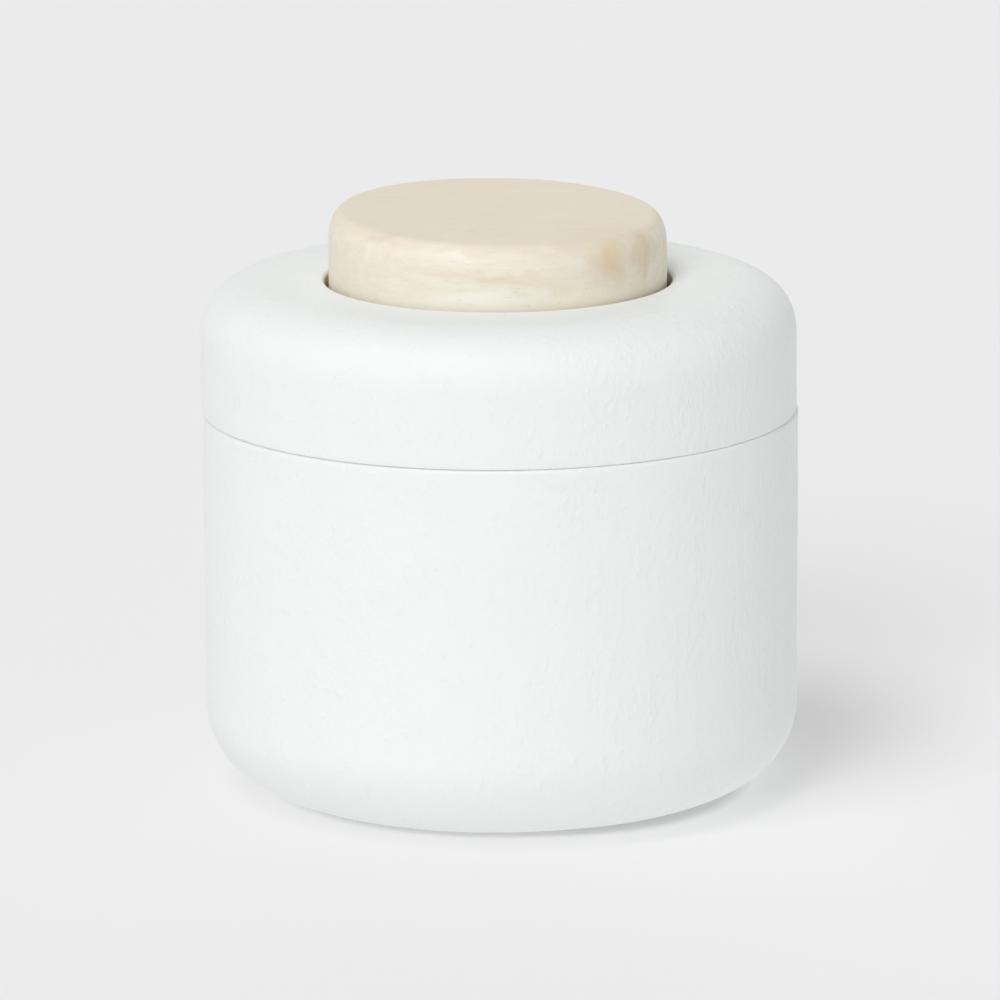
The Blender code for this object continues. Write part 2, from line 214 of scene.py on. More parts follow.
def rounding(corner, before, after, spacing):
    """The points of one corner's rounding, between its neighbours' places. The power makes its middle
    lie at the bulge share."""
    here = Vector((corner.radius, corner.height))
    start = here + (before - here).normalized() * corner.before
    end = here + (after - here).normalized() * corner.after
    centre = start + end - here
    power = -2 * math.log2(corner.bulge_share)
    steps = max(LEAST_STEPS, math.ceil((corner.before + corner.after) / spacing))
    for step in range(steps + 1):
        turn = math.pi / 2 * step / steps
        along_start = (start - centre) * max(0, math.cos(turn)) ** power
        yield centre + along_start + (end - centre) * math.sin(turn) ** power


def outline(corners, closed, fine=FINE):
    """The outline's points, each with the skin that follows it. Skins that face in are coarser."""
    places = [Vector((corner.radius, corner.height)) for corner in corners]
    rough = []
    for index, corner in enumerate(corners):
        spacing = COARSE if corner.skin else fine
        if corner.before:
            after = places[(index + 1) % len(places)]
            rough += [(point, corner.skin) for point in rounding(corner, places[index - 1], after, spacing)]
        else:
            rough.append((places[index], corner.skin))
    if closed:
        rough.append(rough[0])
    points = []
    for (point, skin), (beyond, _) in zip(rough, rough[1:]):
        count = max(1, math.ceil((beyond - point).length / (COARSE if skin else fine)))
        points += [(point.lerp(beyond, step / count), skin) for step in range(count)]
    if not closed:
        points.append(rough[-1])
    return points


def normals_along(points, closed):
    """The outline's normals, to the left of its way."""
    count = len(points)
    normals = []
    for index, (point, _) in enumerate(points):
        before = points[index - 1][0] if index or closed else point
        after = points[(index + 1) % count][0] if index < count - 1 or closed else point
        way = (after - before).normalized()
        normals.append(Vector((-way.y, way.x)))
    return normals


def turned(name, points, closed, steps, relief=None, centre=Vector()):
    """A solid turned about +Z. Relief says how far a point moves out along its normal."""
    places, rows = [], []
    for (point, _), normal in zip(points, normals_along(points, closed)):
        row = []
        for step in range(steps if point.x > 0 else 1):
            turn = math.tau * step / steps
            out = Vector((math.cos(turn), math.sin(turn), 0))
            place = centre + out * point.x + Vector((0, 0, point.y))
            if relief:
                place += (out * normal.x + Vector((0, 0, normal.y))) * relief(place)
            row.append(len(places))
            places.append(place)
        rows.append(row)
    faces, skins = [], []
    for (_, skin), row, beyond in zip(points, rows, rows[1:] + rows[:1] * closed):
        for step in range(steps):
            side = (step + 1) % steps
            if len(row) == 1:
                faces.append((row[0], beyond[step], beyond[side]))
            elif len(beyond) == 1:
                faces.append((row[step], beyond[0], row[side]))
            else:
                faces.append((row[step], beyond[step], beyond[side], row[side]))
            skins.append(skin)
    mesh = bpy.data.meshes.new(name)
    mesh.from_pydata(places, [], faces)
    mesh.polygons.foreach_set("material_index", skins)
    mesh.shade_smooth()
    mesh.set_sharp_from_angle(angle=SHARP_ANGLE)
    return mesh


def piece(mesh, materials, body, node):
    """A piece of the canister that rides on a body and stands for a node of the frame."""
    made = bpy.data.objects.new(mesh.name, mesh)
    bpy.context.scene.collection.objects.link(made)
    for material in materials:
        mesh.materials.append(material)
    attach(made, body)
    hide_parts(node)
    return made


def spans(node):
    """A turned node's radius, lowest height and highest height."""
    low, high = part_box(node)
    return (high.x - low.x) / 2, low.z, high.z


class Waves(NamedTuple):
    """Unevenness of a surface: its length from one wave to the next, and its height."""

    length: float
    height: float


# Relief of the pieces, in the mesh
CAST_WAVES = (Waves(0.020, 0.00007), Waves(0.0040, 0.000012))
SANDED_WAVES = (Waves(0.011, 0.00009), Waves(0.0030, 0.00002))
CORK_WAVES = (Waves(0.0015, 0.00006),)
MOULDED_WAVES = (Waves(0.0060, 0.00003),)


def relief_of(waves):
    """A function that gives the height of some waves at a place."""
    return lambda place: sum(noise.noise(place / wave.length) * wave.height for wave in waves)


def cast_relief():
    """The unevenness of the cast pieces, which dies away at the seam, where both were ground true."""
    swell = relief_of(CAST_WAVES)
    seam = spans("jar_body")[2]
    return lambda place: swell(place) * min(1, abs(place.z - seam) / SEAM_CALM)


def make_jar(coat, glaze, bare):
    """The jar, with a glazed inside and a bare ring under its foot."""
    radius, base, rim = spans("jar_body")
    mouth = radius - BODY_WALL
    inside = base + FOOT_RECESS + JAR_FLOOR
    foot = radius - HEEL_WIDTH - FOOT_RING_WIDTH
    corners = [
        Corner(0, inside, skin=INSIDE),
        Corner(
            mouth,
            inside,
            HEEL_WIDTH - BODY_WALL,
            HEEL_HEIGHT - inside + base,
            HEEL_BULGE_SHARE,
            INSIDE,
        ),
        edge(mouth, rim, MOUTH_INNER_EDGE),
        edge(radius, rim, MOUTH_OUTER_EDGE)._replace(bulge_share=MOUTH_EDGE_BULGE_SHARE),
        Corner(radius, base, HEEL_HEIGHT, HEEL_WIDTH, HEEL_BULGE_SHARE),
        Corner(foot + FOOT_RING_WIDTH - BARE_RING_INSET, base, skin=BARE),
        edge(foot, base, FOOT_RING_EDGE, INSIDE),
        Corner(foot, base + FOOT_RECESS, skin=INSIDE),
        Corner(0, base + FOOT_RECESS),
    ]
    mesh = turned("jar", outline(corners, False), False, BODY_STEPS, cast_relief())
    piece(mesh, [coat, glaze, bare], "jar", "jar_body")


def make_lid(coat, glaze, bare):
    """The lid, with the knob's bare well in its top, a bare seat and a glazed underside. It rests on the
    jar, so its seat is a little lower than the solid's."""
    radius, rim_foot, top = spans("lid_shell")
    seat = spans("jar_body")[2] + RESTING_GAP
    inside = radius - BODY_WALL
    rim = inside - MOUTH_CLEARANCE
    rim_inside = rim - LOCATING_RIM_WALL
    _, seal_foot, seal_top = spans("seal_ring")
    groove = rim - SEAL_GROOVE_DEPTH
    well = spans("wooden_knob")[0] + KNOB_GAP
    well_outside = well + WELL_WALL
    well_floor = top - WELL_DEPTH
    underside = top - LID_TOP
    flange_top = seat + SEAT_FLANGE + inside - rim_inside
    corners = [
        edge(well, top, WELL_LIP),
        Corner(radius, top, SHOULDER_WIDTH, SHOULDER_HEIGHT, SHOULDER_BULGE_SHARE),
        edge(radius, seat, LID_EDGE),
        Corner(radius - SEAT_COAT_WIDTH, seat, skin=BARE),
        Corner(rim, seat, skin=INSIDE),
        Corner(rim, seal_top + SEAT_GAP, skin=INSIDE),
        Corner(groove, seal_top + SEAT_GAP, skin=INSIDE),
        Corner(groove, seal_foot - SEAT_GAP, skin=INSIDE),
        Corner(rim, seal_foot - SEAT_GAP, skin=INSIDE),
        edge(rim, rim_foot, LOCATING_RIM_EDGE, INSIDE),
        edge(rim_inside, rim_foot, LOCATING_RIM_EDGE, INSIDE),
        edge(rim_inside, seat + SEAT_FLANGE, FLANGE_ROUND, INSIDE),
        edge(inside, flange_top, FLANGE_ROUND, INSIDE),
        Corner(
            inside,
            underside,
            SHOULDER_HEIGHT - LID_TOP,
            SHOULDER_WIDTH - BODY_WALL,
            SHOULDER_BULGE_SHARE,
            INSIDE,
        ),
        edge(well_outside, underside, WELL_ROOT_ROUND, INSIDE),
        edge(well_outside, well_floor - WELL_FLOOR, WELL_OUTER_ROUND, INSIDE),
        Corner(LID_HOLE_RADIUS, well_floor - WELL_FLOOR, skin=INSIDE),
        Corner(LID_HOLE_RADIUS, well_floor, skin=BARE),
        edge(well, well_floor, WELL_CORNER, BARE),
    ]
    centre = Vector((LID_OFF_CENTRE, 0, 0))
    mesh = turned("lid", outline(corners, True), True, BODY_STEPS, cast_relief(), centre)
    for vertex in mesh.vertices:
        vertex.co.z += vertex.co.x * math.tan(LID_TILT)
    piece(mesh, [coat, glaze, bare], "lid", "lid_shell")


def make_seal(silicone):
    """The soft ring on the lid's rim, with lips that reach out to the jar's mouth."""
    outer, foot, top = spans("seal_ring")
    lid_inside = spans("lid_shell")[0] - BODY_WALL
    inner = lid_inside - MOUTH_CLEARANCE - SEAL_GROOVE_DEPTH + SEAT_GAP
    lip = (outer - inner) * SEAL_LIP_SHARE
    points = [(Vector((inner, top)), OUTSIDE)]
    for step in range(SEAL_STEPS + 1):
        share = step / SEAL_STEPS
        reach = outer - lip * (1 - abs(math.sin(math.pi * SEAL_LIP_COUNT * share)))
        points.append((Vector((reach, top + (foot - top) * share)), OUTSIDE))
    points.append((Vector((inner, foot)), OUTSIDE))
    piece(turned("seal", points, True, BODY_STEPS), [silicone], "lid", "seal_ring")


def make_knob(wood):
    """The knob, turned and then sanded by hand, so that its top slopes a little."""
    radius, base, top = spans("wooden_knob")
    corners = [
        Corner(0, top),
        Corner(radius, top, KNOB_ROUND_WIDTH, KNOB_ROUND_HEIGHT),
        edge(radius, base, KNOB_FOOT_EDGE),
        Corner(PILOT_HOLE_RADIUS, base),
        Corner(PILOT_HOLE_RADIUS, base + PILOT_HOLE_DEPTH),
        Corner(0, base + PILOT_HOLE_DEPTH),
    ]
    centre = Vector((KNOB_OFF_CENTRE, 0, 0))
    mesh = turned("knob", outline(corners, False), False, KNOB_STEPS, relief_of(SANDED_WAVES), centre)
    middle = (base + top) / 2
    for vertex in mesh.vertices:
        share = max(0, (vertex.co.z - middle) / (top - middle))
        fall = vertex.co.x * math.tan(KNOB_SLOPE_RIGHT) - vertex.co.y * math.tan(KNOB_SLOPE_FRONT)
        vertex.co.z -= share * fall
    piece(mesh, [wood], "lid", "wooden_knob")


def ring_mesh(name, node, lower_edge, upper_edge, waves=(), steps=SMALL_STEPS, fine=SMALL_FINE):
    """A flat ring round the screw, with its own rounding on the lower and the upper edges."""
    radius, base, top = spans(node)
    corners = [
        edge(radius, top, upper_edge),
        edge(radius, base, lower_edge),
        edge(SCREW_HOLE_RADIUS, base, lower_edge),
        edge(SCREW_HOLE_RADIUS, top, upper_edge),
    ]
    return turned(name, outline(corners, True, fine), True, steps, relief_of(waves))


def make_cushion(cork):
    """The cork disc that the knob is bedded on."""
    edges = (CUSHION_EDGE, CUSHION_EDGE)
    mesh = ring_mesh("cushion", "knob_cushion", *edges, CORK_WAVES, CUSHION_STEPS, FINE)
    piece(mesh, [cork], "lid", "knob_cushion")


def make_soft_washer(rubber):
    """The moulded washer that keeps the steel off the ceramic."""
    mesh = ring_mesh("washer_soft", "soft_washer", SOFT_WASHER_EDGE, SOFT_WASHER_EDGE, MOULDED_WAVES)
    piece(mesh, [rubber], "lid", "soft_washer")


def make_steel_washer(steel):
    """The stamped washer that the screw's head bears on, rounder on the edges where the punch went in."""
    mesh = ring_mesh("washer_steel", "steel_washer", STAMPED_EDGE, STEEL_WASHER_EDGE)
    piece(mesh, [steel], "lid", "steel_washer")


def make_pads(silicone):
    """The soft pads inside the foot ring, whose flat faces the canister stands on."""
    for node in sorted(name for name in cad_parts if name.startswith("foot_pad_")):
        radius, base, top = spans(node)
        corners = [
            Corner(0, top),
            edge(radius, top, PAD_BACK_EDGE),
            edge(radius, base, PAD_FACE_EDGE),
            Corner(0, base),
        ]
        points = outline(corners, False, SMALL_FINE)
        middle = sum(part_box(node), Vector()) / 2
        centre = Vector((middle.x, middle.y, 0))
        mesh = turned(node.replace("foot_", ""), points, False, SMALL_STEPS, None, centre)
        piece(mesh, [silicone], "jar", node)


def screw_rows(bearing, tip, thread_start):
    """The screw's rows from its domed head up to its tip: height, radius of the core, and the share of
    the thread's full height that stands on it."""
    rim = HEAD_HEIGHT * HEAD_RIM_SHARE
    core = SCREW_RADIUS - THREAD_HEIGHT
    rows = []
    for step in range(1, HEAD_ROWS + 1):
        turn = math.pi / 2 * step / HEAD_ROWS
        drop = rim + (HEAD_HEIGHT - rim) * math.cos(turn)
        rows.append((bearing - drop, HEAD_RADIUS * math.sin(turn), 0))
    rows += [(bearing, HEAD_RADIUS, 0), (bearing, core, 0)]
    thread_end = tip - SCREW_TIP
    count = round((thread_end - thread_start) / THREAD_PITCH * THREAD_ROWS_PER_TURN)
    for row in range(count + 1):
        height = thread_start + (thread_end - thread_start) * row / count
        rows.append((height, core, min(1, row / THREAD_ROWS_PER_TURN)))
    count = round(SCREW_TIP / THREAD_PITCH * THREAD_ROWS_PER_TURN)
    for row in range(1, count):
        left = 1 - row / count
        rows.append((thread_end + SCREW_TIP * row / count, core * left, left))
    return rows


def screw_mesh(bearing, tip, thread_start):
    """The rows as one closed surface, with a sharp thread that climbs round the core."""
    low = bearing - HEAD_HEIGHT
    places, faces = [(0, 0, low)], []
    rows = screw_rows(bearing, tip, thread_start)
    for height, radius, thread_share in rows:
        for step in range(THREAD_STEPS):
            turn = math.tau * step / THREAD_STEPS
            wave = (1 + math.cos(math.tau * (height - bearing) / THREAD_PITCH - turn)) / 2
            reach = radius + THREAD_HEIGHT * thread_share * wave**THREAD_SHARPNESS
            places.append((reach * math.cos(turn), reach * math.sin(turn), height))
    places.append((0, 0, tip))
    last = 1 + (len(rows) - 1) * THREAD_STEPS
    for step in range(THREAD_STEPS):
        beside = (step + 1) % THREAD_STEPS
        faces.append((0, 1 + beside, 1 + step))
        for first in range(1, last, THREAD_STEPS):
            above = first + THREAD_STEPS
            faces.append((first + step, first + beside, above + beside, above + step))
        faces.append((last + step, last + beside, len(places) - 1))
    mesh = bpy.data.meshes.new("screw_blank")
    mesh.from_pydata(places, [], faces)
    return mesh


def cross_cutter(low):
    """A tapered cross that cuts the driver's recess up into the head from its lowest point."""
    arm = CROSS_WIDTH / 2
    places = []
    for height, share in ((low - CUTTER_OVERRUN, 1), (low + CROSS_DEPTH, CROSS_TAPER_SHARE)):
        for quarter in range(4):
            turn = Matrix.Rotation(math.pi / 2 * quarter, 2)
            for x, y in ((CROSS_RADIUS, -arm), (CROSS_RADIUS, arm), (arm, arm)):
                places.append((*(turn @ Vector((x, y)) * share), height))
    count = len(places) // 2
    faces = [tuple(reversed(range(count))), tuple(range(count, 2 * count))]
    for index in range(count):
        beside = (index + 1) % count
        faces.append((index, beside, count + beside, count + index))
    mesh = bpy.data.meshes.new("cross_cutter")
    mesh.from_pydata(places, [], faces)
    cutter = bpy.data.objects.new("cross_cutter", mesh)
    bpy.context.scene.collection.objects.link(cutter)
    return cutter


def cut_with(blank, cutter):
    """The blank's mesh with the cutter's shape taken out. The cutter is removed."""
    cut = blank.modifiers.new("cut", "BOOLEAN")
    cut.operation = "DIFFERENCE"
    cut.solver = "EXACT"
    cut.object = cutter
    shaped = bpy.data.meshes.new_from_object(blank.evaluated_get(bpy.context.evaluated_depsgraph_get()))
    for item in (blank, cutter):
        bpy.data.objects.remove(item, do_unlink=True)
    return shaped


def make_screw(steel):
    """The pan-head wood screw that holds the knob, with a cross recess in its head."""
    low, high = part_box("knob_screw")
    mesh = screw_mesh(low.z + HEAD_HEIGHT, high.z, spans("knob_cushion")[1])
    blank = bpy.data.objects.new("screw_blank", mesh)
    bpy.context.scene.collection.objects.link(blank)
    shaped = cut_with(blank, cross_cutter(low.z))
    shaped.name = "screw"
    shaped.materials.clear()
    shaped.shade_smooth()
    shaped.set_sharp_from_angle(angle=SHARP_ANGLE)
    piece(shaped, [steel], "lid", "knob_screw")


class Grain(NamedTuple):
    """A texture: its size across, how it is stretched along X, Y and Z, its detail and distortion."""

    size: float
    stretch: tuple = (1, 1, 1)
    detail: float = 2.0
    distortion: float = 0.0


# Bands that a value passes through, and what it turns into at their two ends
WHOLE = (0.0, 1.0)
NOISE_BAND = (0.3, 0.7)
RISING = (0.0, 1.0)
FALLING = (1.0, 0.0)
NOISE_MIDDLE = (0.5, 0.5, 0.5)


class Graph:
    """A shader's nodes under construction."""

    def __init__(self, tree):
        self.tree = tree

    def fill(self, made, inputs):
        """Gives a node its inputs. One is linked if it is given a socket, and otherwise set."""
        for name, value in dict(inputs).items():
            if isinstance(value, bpy.types.NodeSocket):
                self.tree.links.new(value, made.inputs[name])
            else:
                made.inputs[name].default_value = value

    def node(self, kind, inputs=(), **settings):
        """Adds a node with its settings and inputs."""
        made = self.tree.nodes.new(kind)
        for name, value in settings.items():
            setattr(made, name, value)
        self.fill(made, inputs)
        return made

    def math(self, operation, *values):
        """The result of an operation on numbers."""
        return self.node("ShaderNodeMath", enumerate(values), operation=operation).outputs[0]

    def product(self, *values):
        """Numbers multiplied."""
        return functools.reduce(lambda made, value: self.math("MULTIPLY", made, value), values)

    def total(self, *values):
        """Numbers added."""
        return functools.reduce(lambda made, value: self.math("ADD", made, value), values)

    def either(self, first, second):
        """The greater of two shares."""
        return self.math("MAXIMUM", first, second)

    def opposite(self, share):
        """What a share leaves of the whole."""
        return self.math("SUBTRACT", 1, share)

    def vector_math(self, operation, *values):
        """The result of an operation on vectors."""
        return self.node("ShaderNodeVectorMath", enumerate(values), operation=operation).outputs[0]

    def times(self, vector, factor):
        """A vector made longer by a factor."""
        return self.node("ShaderNodeVectorMath", {0: vector, "Scale": factor}, operation="SCALE").outputs[0]

    def length(self, vector):
        """How long a vector is."""
        return self.node("ShaderNodeVectorMath", {0: vector}, operation="LENGTH").outputs["Value"]

    def parts(self, vector):
        """A vector's X, Y and Z."""
        return self.node("ShaderNodeSeparateXYZ", {0: vector}).outputs

    def joined(self, x, y, z):
        """The vector that has these parts."""
        return self.node("ShaderNodeCombineXYZ", {0: x, 1: y, 2: z}).outputs[0]

    def between(self, value, band, ends=RISING, way="SMOOTHSTEP"):
        """Turns a value that passes through a band into one that goes from the first end to the second.
        It starts and stops softly, or goes evenly where the way is LINEAR."""
        inputs = enumerate((value, *band, *ends))
        return self.node("ShaderNodeMapRange", inputs, interpolation_type=way).outputs[0]

    def mixed(self, share, first, second):
        """A shader between two shaders."""
        return self.node("ShaderNodeMixShader", {0: share, 1: first, 2: second}).outputs[0]


class Surface(Graph):
    """A procedural material under construction. Its textures read the place on the piece in metres."""

    def __init__(self, name):
        self.material = bpy.data.materials.new(name)
        self.material.use_nodes = True
        super().__init__(self.material.node_tree)
        self.shader = self.tree.nodes["Principled BSDF"]
        self.place = self.node("ShaderNodeTexCoord").outputs["Object"]
        self.heights = []

    def scaled(self, place, grain):
        """A place, counted in the sizes of a texture."""
        return self.vector_math("MULTIPLY", place, [1 / (grain.size * along) for along in grain.stretch])

    def noise(self, grain, place=None):
        """The value and the colour of a noise, whose parts go from 0 to 1 with their middle near a half."""
        inputs = {
            "Vector": self.scaled(place or self.place, grain),
            "Scale": 1.0,
            "Detail": grain.detail,
            "Distortion": grain.distortion,
        }
        return self.node("ShaderNodeTexNoise", inputs).outputs

    def grain(self, grain, place=None):
        """The value of a noise."""
        return self.noise(grain, place)[0]

    def bent(self, grain, reach):
        """The place, moved about by up to half of a reach along each axis."""
        way = self.vector_math("SUBTRACT", self.noise(grain)["Color"], NOISE_MIDDLE)
        return self.vector_math("ADD", self.place, self.times(way, reach))

    def cells(self, grain, feature="F1", place=None):
        """The cells of a mosaic: how far a place is from a cell's middle or edge, and its colour."""
        inputs = {"Vector": self.scaled(place or self.place, grain), "Scale": 1.0}
        return self.node("ShaderNodeTexVoronoi", inputs, feature=feature).outputs

    def chosen(self, cells, band):
        """1 in the cells whose colour's first part is above a band, and 0 in those where it is below."""
        return self.between(self.parts(cells["Color"])[0], band)

    def mix(self, share, first, second):
        """A colour between two colours."""
        return self.node("ShaderNodeMix", {0: share, 6: first, 7: second}, data_type="RGBA").outputs[2]

    def raise_by(self, share, height):
        """Raises the surface by a share of a height."""
        self.heights.append(self.math("MULTIPLY", share, height))

    def finish(self, colour, roughness, **fixed):
        """Joins the colour, the roughness and all the heights to the shader, with its fixed values."""
        bump = self.node("ShaderNodeBump", {"Height": self.total(*self.heights), "Distance": 1.0})
        self.fill(self.shader, {"Base Color": colour, "Roughness": roughness, "Normal": bump.outputs[0]})
        self.fill(self.shader, {name.replace("_", " "): value for name, value in fixed.items()})
        return self.material


# White coat
COAT_COLOUR = (0.868, 0.890, 0.880, 1)
COAT_THIN = (0.862, 0.884, 0.873, 1)
COAT_CLOUDS = Grain(0.014, detail=3)
COAT_PATCHES = Grain(0.0070, detail=2)
COAT_PATCH_BAND = (0.32, 0.54)
COAT_DENSITIES = (0.5, 1.0)
COAT_BENDS = Grain(0.0020, stretch=(1, 1, 1.2), detail=1)
COAT_BEND_REACH = 0.0016
COAT_THREADS = Grain(0.0026, stretch=(1, 1, 1.8))
COAT_THREAD_BAND = (0.0, 0.20)
COAT_THREAD_HEIGHT = 0.000045
COAT_BREAKS = Grain(0.0016, stretch=(1, 1, 1.2), detail=1)
COAT_BREAK_BAND = (0.44, 0.62)
COAT_DABS = Grain(0.0014, stretch=(1, 1, 1.6), detail=1)
COAT_DAB_BAND = (0.50, 0.85)
COAT_DAB_HEIGHT = 0.000051
COAT_PIT_BAND = (0.50, 0.15)
COAT_PIT_DEPTH = -0.000038
COAT_CRUMBS = Grain(0.0012, stretch=(1, 1, 1.8))
COAT_CRUMB_CHOICE = (0.38, 0.44)
COAT_CRUMB_BAND = (0.0, 0.32)
COAT_CRUMB_HEIGHT = 0.000062
COAT_PEEL = Grain(0.0012, stretch=(1, 1, 1.3), detail=1.5)
COAT_PEEL_HEIGHT = 0.000050
COAT_WAVES = Grain(0.0034, detail=2)
COAT_WAVE_HEIGHT = 0.000075
COAT_ROUGHNESS = (0.50, 0.60)
COAT_SPECULAR = 0.32


def raise_threads(coat, bent, patches):
    """Fine threads of dried spray along the edges of cells, broken here and there."""
    edges = coat.cells(COAT_THREADS, "DISTANCE_TO_EDGE", bent)["Distance"]
    threads = coat.between(edges, COAT_THREAD_BAND, FALLING)
    breaks = coat.between(coat.grain(COAT_BREAKS), COAT_BREAK_BAND)
    coat.raise_by(coat.product(threads, breaks, patches), COAT_THREAD_HEIGHT)


def raise_dabs(coat, patches):
    """Soft dabs where a noise is high, and shallow pits where it is low."""
    dabs = coat.grain(COAT_DABS)
    coat.raise_by(coat.product(coat.between(dabs, COAT_DAB_BAND), patches), COAT_DAB_HEIGHT)
    coat.raise_by(coat.product(coat.between(dabs, COAT_PIT_BAND), patches), COAT_PIT_DEPTH)


def raise_crumbs(coat, bent, dense):
    """Crumbs in the middle of some cells."""
    cells = coat.cells(COAT_CRUMBS, place=bent)
    crumbs = coat.between(cells["Distance"], COAT_CRUMB_BAND, FALLING)
    share = coat.product(crumbs, coat.chosen(cells, COAT_CRUMB_CHOICE), dense)
    coat.raise_by(share, COAT_CRUMB_HEIGHT)


def coat_material():
    """A matte sprayed coat with marks that come in patches, over orange peel and waves, and a colour that
    is thinner in clouds."""
    coat = Surface("white coat")
    patches = coat.between(coat.grain(COAT_PATCHES), COAT_PATCH_BAND)
    dense = coat.between(patches, WHOLE, COAT_DENSITIES)
    bent = coat.bent(COAT_BENDS, COAT_BEND_REACH)
    waves = coat.grain(COAT_WAVES)
    raise_threads(coat, bent, patches)
    raise_dabs(coat, patches)
    raise_crumbs(coat, bent, dense)
    coat.raise_by(coat.product(coat.grain(COAT_PEEL), dense), COAT_PEEL_HEIGHT)
    coat.raise_by(waves, COAT_WAVE_HEIGHT)
    clouds = coat.between(coat.grain(COAT_CLOUDS), NOISE_BAND)
    colour = coat.mix(clouds, COAT_COLOUR, COAT_THIN)
    roughness = coat.between(waves, NOISE_BAND, COAT_ROUGHNESS)
    return coat.finish(colour, roughness, Specular_IOR_Level=COAT_SPECULAR)


# Glaze
GLAZE_COLOUR = (0.84, 0.855, 0.835, 1)
GLAZE_THIN = (0.80, 0.80, 0.765, 1)
GLAZE_CLOUDS = Grain(0.018, detail=3)
GLAZE_CLOUD_BAND = (0.35, 0.65)
GLAZE_RIPPLE = Grain(0.0045, detail=1)
GLAZE_RIPPLE_HEIGHT = 0.00003
GLAZE_PINHOLES = Grain(0.0032)
GLAZE_PINHOLE_CHOICE = (0.90, 0.92)
GLAZE_PINHOLE_BAND = (0.02, 0.07)
GLAZE_PINHOLE_DEPTH = -0.00004
GLAZE_ROUGHNESS = (0.22, 0.34)


def glaze_material():
    """A satin glaze that pools a little, with rare pinholes."""
    glaze = Surface("glaze")
    glaze.raise_by(glaze.grain(GLAZE_RIPPLE), GLAZE_RIPPLE_HEIGHT)
    cells = glaze.cells(GLAZE_PINHOLES)
    pinholes = glaze.between(cells["Distance"], GLAZE_PINHOLE_BAND, FALLING)
    pinholes = glaze.product(pinholes, glaze.chosen(cells, GLAZE_PINHOLE_CHOICE))
    glaze.raise_by(pinholes, GLAZE_PINHOLE_DEPTH)
    clouds = glaze.grain(GLAZE_CLOUDS)
    colour = glaze.mix(glaze.between(clouds, GLAZE_CLOUD_BAND), GLAZE_COLOUR, GLAZE_THIN)
    return glaze.finish(colour, glaze.between(clouds, NOISE_BAND, GLAZE_ROUGHNESS))


# Bare stoneware
STONE_COLOUR = (0.66, 0.60, 0.51, 1)
STONE_DARK = (0.47, 0.40, 0.32, 1)
STONE_SPECKS = Grain(0.0007)
STONE_SPECK_CHOICE = (0.75, 0.80)
STONE_SPECK_BAND = (0.1, 0.4)
STONE_SAND = Grain(0.0004, detail=4)
STONE_SAND_HEIGHT = 0.00004
STONE_ROUGHNESS = (0.8, 0.95)


def stone_material():
    """Bare fired clay: sandy and matte, with small darker specks."""
    stone = Surface("bare stoneware")
    cells = stone.cells(STONE_SPECKS)
    specks = stone.between(cells["Distance"], STONE_SPECK_BAND, FALLING)
    specks = stone.product(specks, stone.chosen(cells, STONE_SPECK_CHOICE))
    sand = stone.grain(STONE_SAND)
    stone.raise_by(sand, STONE_SAND_HEIGHT)
    colour = stone.mix(specks, STONE_COLOUR, STONE_DARK)
    return stone.finish(colour, stone.between(sand, NOISE_BAND, STONE_ROUGHNESS))


class Patch(NamedTuple):
    """A soft stained place in the wood: its middle from the middle of the knob's top, its half
    widths, its colour and how strong it is."""

    middle: tuple
    reach: tuple
    colour: tuple
    strength: float


class Swelling(NamedTuple):
    """A place that the growth layers bend round: its middle and half widths, as a patch has them, and
    how far it pushes them."""

    middle: tuple
    reach: tuple
    push: float


# Pale wood
WOOD_LIGHT = (0.875, 0.832, 0.715, 1)
WOOD_DARK = (0.795, 0.720, 0.565, 1)
# A warmer, darker colour for the knob's top: partly the wood's own tone, partly painted shade
WOOD_TOP_TONE_AND_SHADE = (0.80, 0.735, 0.585, 1)
WOOD_TAN = (0.72, 0.60, 0.41, 1)
WOOD_HONEY = (0.80, 0.715, 0.54, 1)
WOOD_CREAM = (0.93, 0.895, 0.81, 1)
WOOD_AMBER = (0.75, 0.59, 0.38, 1)
WOOD_PINK = (0.80, 0.70, 0.60, 1)
WOOD_STRAW = (0.94, 0.88, 0.68, 1)
WOOD_PORE = (0.66, 0.57, 0.42, 1)
WOOD_WARP = Grain(0.006, stretch=(5.0, 1.6, 1.0), detail=2)
WOOD_WARP_DEPTH = 0.0045
WOOD_SWELLING = Swelling((-0.0055, -0.0306, -0.0050), (0.0165, 0.010, 0.0038), 0.0035)
WOOD_LAYERS = Grain(0.0024, stretch=(30, 1, 6), detail=3)
WOOD_LAYER_BAND = (0.36, 0.70)
WOOD_LAYER_DARKNESS = (0.0, 0.34)
WOOD_LAYER_HEIGHT = 0.00001
WOOD_CLOUDS = Grain(0.009, stretch=(2.5, 1, 1), detail=2)
WOOD_CLOUD_BAND = (0.35, 0.68)
WOOD_CLOUD_DARKNESS = (0.0, 0.16)
WOOD_STREAKS = Grain(0.0009, stretch=(20, 2.6, 1), detail=3, distortion=0.3)
WOOD_STREAK_BAND = (0.34, 0.66)
WOOD_STREAK_DARKNESS = (-0.06, 0.26)
WOOD_FIBRES = Grain(0.00022, stretch=(26, 1, 1), detail=2)
WOOD_FIBRE_DARKNESS = (-0.08, 0.12)
WOOD_FIBRE_HEIGHT = 0.000012
WOOD_PORES = Grain(0.00030, stretch=(11, 1, 1), detail=1)
WOOD_PORE_BAND = (0.66, 0.76)
WOOD_PORE_SHARE = 0.35
WOOD_PORE_DEPTH = -0.00002
WOOD_SANDING = Grain(0.0022, detail=2)
WOOD_SANDING_HEIGHT = 0.00004
WOOD_ROUGHNESS = (0.66, 0.56)
WOOD_SPECULAR = 0.35
# Depths below the top where its tone and painted shade begin and are full, and how much is mixed in
WOOD_TOP_TONE_AND_SHADE_DEPTHS = (0.0030, 0.0006)
WOOD_TOP_TONE_AND_SHADE_SHARE = 0.62
WOOD_STAIN_BENDS = Grain(0.0030, stretch=(1.6, 1.6, 1), detail=3)
WOOD_STAIN_REACH = 0.0060
